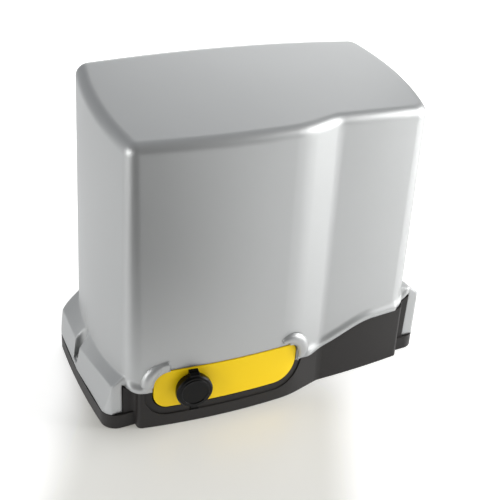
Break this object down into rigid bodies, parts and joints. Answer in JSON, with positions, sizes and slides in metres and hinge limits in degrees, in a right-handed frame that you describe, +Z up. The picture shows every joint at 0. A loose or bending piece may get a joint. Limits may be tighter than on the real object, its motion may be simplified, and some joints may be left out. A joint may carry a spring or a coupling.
{
  "type": "sliding gate motor",
  "caption": "Electric sliding gate operator: silver cover on a dark base with yellow release lever and rack pinion.",
  "frame": {"origin": "middle of the four anchor slots, on the underside of the base", "axes": "+X to the right seen from the lever side, -Y towards the lever side, +Z up; the pinion points along +Y"},
  "size_m": [0.324, 0.2103, 0.2762],
  "materials": {
    "cover_paint": "satin metallic silver",
    "base_dark": "satin, painted dark grey",
    "lever_yellow": "satin",
    "cap_rubber": "matte",
    "lock_metal": "satin",
    "plug_metal": "polished",
    "black_plastic": "matte",
    "zinc": "zinc plated",
    "steel": "machined",
    "hard_steel": "ground",
    "bronze": "machined",
    "brass_part": "machined",
    "casting": "as cast, bead blasted",
    "gasket_paper": "matte",
    "grommet_rubber": "matte",
    "can_paint": "semi-gloss black",
    "laminations": "lacquered",
    "copper": "enamelled copper",
    "board_green": "solder mask",
    "relay_blue": "moulded",
    "terminal_green": "moulded",
    "carrier_grey": "moulded",
    "capacitor_white": "moulded",
    "transformer_steel": "varnished"
  },
  "bodies": {
    "base": {"base_tray": "base_dark", "screw_inserts": "brass_part", "levelling_screws": "zinc", "cable_grommet": "grommet_rubber", "release_housing": "black_plastic", "hinge_pin": "steel", "gearbox_housing": "casting", "gearbox_gasket": "gasket_paper", "gearbox_cover": "casting", "front_bearing": "hard_steel", "rear_bearing": "hard_steel", "shaft_seal": "grommet_rubber", "lower_worm_bearing": "hard_steel", "upper_worm_bearing": "hard_steel", "motor_flange": "casting", "motor_can": "can_paint", "stator_core": "laminations", "stator_windings": "copper", "motor_end_cap": "casting", "top_bearing": "hard_steel", "limit_switch_box": "black_plastic", "board_carrier": "carrier_grey", "control_board": "board_green", "relays": "relay_blue", "terminal_blocks": "terminal_green", "transformer": "transformer_steel", "motor_capacitor": "capacitor_white", "capacitor_clip": "zinc", "fuse_holder": "black_plastic", "release_switch": "black_plastic", "earth_stud": "brass_part", "oil_plug": "brass_part"},
    "cover": {"cover_shell": "cover_paint", "cover_screws": "zinc"},
    "lever": {"release_lever": "lever_yellow", "lock_barrel": "lock_metal", "cap_collar": "black_plastic", "release_cam": "steel"},
    "plug": {"lock_plug": "plug_metal"},
    "cap": {"dust_cap": "cap_rubber"},
    "pusher": {"release_rod": "zinc"},
    "ring": {"clutch_ring": "hard_steel"},
    "output": {"output_shaft": "steel", "worm_wheel": "bronze", "shaft_keys": "steel", "drive_pinion": "steel", "pinion_screw": "zinc"},
    "rotor": {"worm_shaft": "hard_steel", "rotor_core": "laminations"},
    "wand": {"limit_wand": "zinc"}
  },
  "joints": [
    {"name": "cover_lift", "type": "slide", "parent": "base", "child": "cover", "axis": [0, 0, 1], "range_m": [0, 0.29]},
    {"name": "lever_swing", "type": "hinge", "parent": "base", "child": "lever", "pos_m": [-0.015, -0.08157, 0.037], "axis": [0, 0, 1], "range_deg": [0, 90]},
    {"name": "lock_turn", "type": "hinge", "parent": "lever", "child": "plug", "pos_m": [-0.0885, -0.08395, 0.036], "axis": [-0.1243, -0.9922, 0], "range_deg": [0, 90]},
    {"name": "cap_flip", "type": "hinge", "parent": "lever", "child": "cap", "pos_m": [-0.08915, -0.08911, 0.0528], "axis": [-0.9922, 0.1243, 0], "range_deg": [0, 110], "stiffness_Nm_per_rad": 0.004},
    {"name": "rod_push", "type": "slide", "parent": "base", "child": "pusher", "axis": [0, 1, 0], "range_m": [0, 0.005]},
    {"name": "ring_shift", "type": "slide", "parent": "output", "child": "ring", "axis": [0, 1, 0], "range_m": [0, 0.005]},
    {"name": "output_spin", "type": "hinge", "parent": "base", "child": "output", "pos_m": [0, 0, 0.092], "axis": [0, 1, 0], "continuous": true},
    {"name": "motor_spin", "type": "hinge", "parent": "base", "child": "rotor", "pos_m": [0.05, 0.002, 0.1], "axis": [0, 0, 1], "continuous": true},
    {"name": "wand_swing", "type": "hinge", "parent": "base", "child": "wand", "pos_m": [0, 0.0585, 0.168], "axis": [0, 0, 1], "range_deg": [-35, 35], "stiffness_Nm_per_rad": 0.06}
  ],
  "couplings": [
    {"joint": "rod_push", "follows": "lever_swing", "m_per_rad": 0.0031831},
    {"joint": "ring_shift", "follows": "lever_swing", "m_per_rad": 0.0031831},
    {"joint": "output_spin", "follows": "motor_spin", "ratio": 0.033333}
  ]
}
